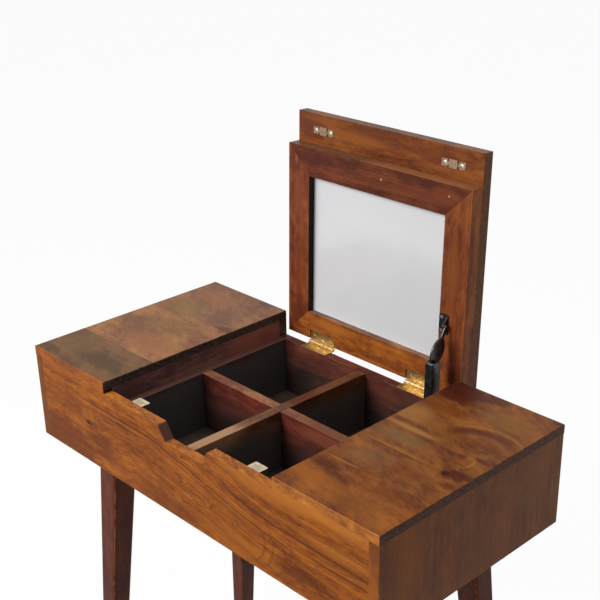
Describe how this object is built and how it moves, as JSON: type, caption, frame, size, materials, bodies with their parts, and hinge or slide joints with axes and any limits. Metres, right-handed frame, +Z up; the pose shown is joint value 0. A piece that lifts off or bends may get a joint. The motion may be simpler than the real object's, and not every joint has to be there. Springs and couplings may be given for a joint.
{
  "type": "vanity table",
  "caption": "Small wooden vanity table: a lift-up middle lid with a framed mirror over a divided well, fixed side tops, splayed legs.",
  "frame": {"origin": "on the floor, at the middle of the whole object's width and depth with the lid open", "axes": "+Z up, +X to the right seen from the front, +Y from the front with the finger notch to the hinges at the back"},
  "size_m": [0.8, 0.4614, 1.1203],
  "materials": {
    "top_panel_wood": "satin oiled hardwood, planks glued edge to edge",
    "board_wood": "satin oiled hardwood with wavy streaks",
    "inner_wood": "satin oiled hardwood",
    "frame_wood": "satin oiled hardwood",
    "leg_wood": "dark satin hardwood",
    "sheet_wood": "thin plywood",
    "mirror": "silvered glass",
    "brass": "bright rolled brass",
    "steel": "bright zinc or nickel plate",
    "black_steel": "black satin coating",
    "catch_plastic": "ivory moulded plastic",
    "magnet": "ceramic magnet",
    "glide_plastic": "brown plastic"
  },
  "bodies": {
    "root": {"bottom_panel": "sheet_wood", "catch_magnets": "magnet", "catch_pole_plates": "steel", "catch_screws": "steel", "cross_divider": "inner_wood", "foot_glides": "glide_plastic", "front_board": "board_wood", "front_left_leg": "leg_wood", "front_right_leg": "leg_wood", "hinge_pins": "brass", "hinge_rail_screws": "brass", "left_catch_housing": "catch_plastic", "left_compartment_liner": "inner_wood", "left_hinge_fixed_leaf": "brass", "left_leg_rail": "leg_wood", "left_side_board": "board_wood", "left_top_front_plank": "top_panel_wood", "left_top_middle_plank": "top_panel_wood", "left_top_rear_plank": "top_panel_wood", "left_well_wall": "inner_wood", "leg_hanger_bolts": "steel", "long_divider": "inner_wood", "rear_board": "board_wood", "rear_left_leg": "leg_wood", "rear_right_leg": "leg_wood", "right_catch_housing": "catch_plastic", "right_compartment_liner": "inner_wood", "right_hinge_fixed_leaf": "brass", "right_leg_rail": "leg_wood", "right_side_board": "board_wood", "right_top_front_plank": "top_panel_wood", "right_top_middle_plank": "top_panel_wood", "right_top_rear_plank": "top_panel_wood", "right_well_wall": "inner_wood", "stay_base_plate": "black_steel", "stay_base_rivet": "black_steel", "stay_base_screws": "steel"},
    "lid": {"hinge_lid_screws": "brass", "left_hinge_lid_leaf": "brass", "left_strike_plate": "steel", "lid_front_plank": "top_panel_wood", "lid_middle_plank": "top_panel_wood", "lid_rear_plank": "top_panel_wood", "mirror_backing": "sheet_wood", "mirror_frame_hinge_rail": "frame_wood", "mirror_frame_left_stile": "frame_wood", "mirror_frame_right_stile": "frame_wood", "mirror_frame_top_rail": "frame_wood", "mirror_glass": "mirror", "mirror_packing_strips": "sheet_wood", "right_hinge_lid_leaf": "brass", "right_strike_plate": "steel", "stay_bracket_screws": "steel", "stay_lid_bracket": "black_steel", "stay_lid_rivet": "black_steel", "strike_screws": "steel"},
    "stay_lower": {"stay_lower_channel": "black_steel", "stay_elbow_rivet": "black_steel"},
    "stay_upper": {"stay_upper_strap": "black_steel"}
  },
  "joints": [
    {"name": "lid_hinge", "type": "hinge", "parent": "root", "child": "lid", "pos_m": [0, 0.17428, 0.71625], "axis": [1, 0, 0], "range_deg": [0, 91.8]},
    {"name": "stay_lower_pivot", "type": "hinge", "parent": "root", "child": "stay_lower", "pos_m": [0.16885, 0.14163, 0.65475], "axis": [1, 0, 0], "range_deg": [0, 91.8]},
    {"name": "stay_upper_pivot", "type": "hinge", "parent": "lid", "child": "stay_upper", "pos_m": [0.16885, 0.17099, 0.84242], "axis": [1, 0, 0], "range_deg": [-91.8, 0]}
  ],
  "couplings": [
    {"joint": "stay_lower_pivot", "follows": "lid_hinge", "ratio": 1},
    {"joint": "stay_upper_pivot", "follows": "lid_hinge", "ratio": -1}
  ]
}
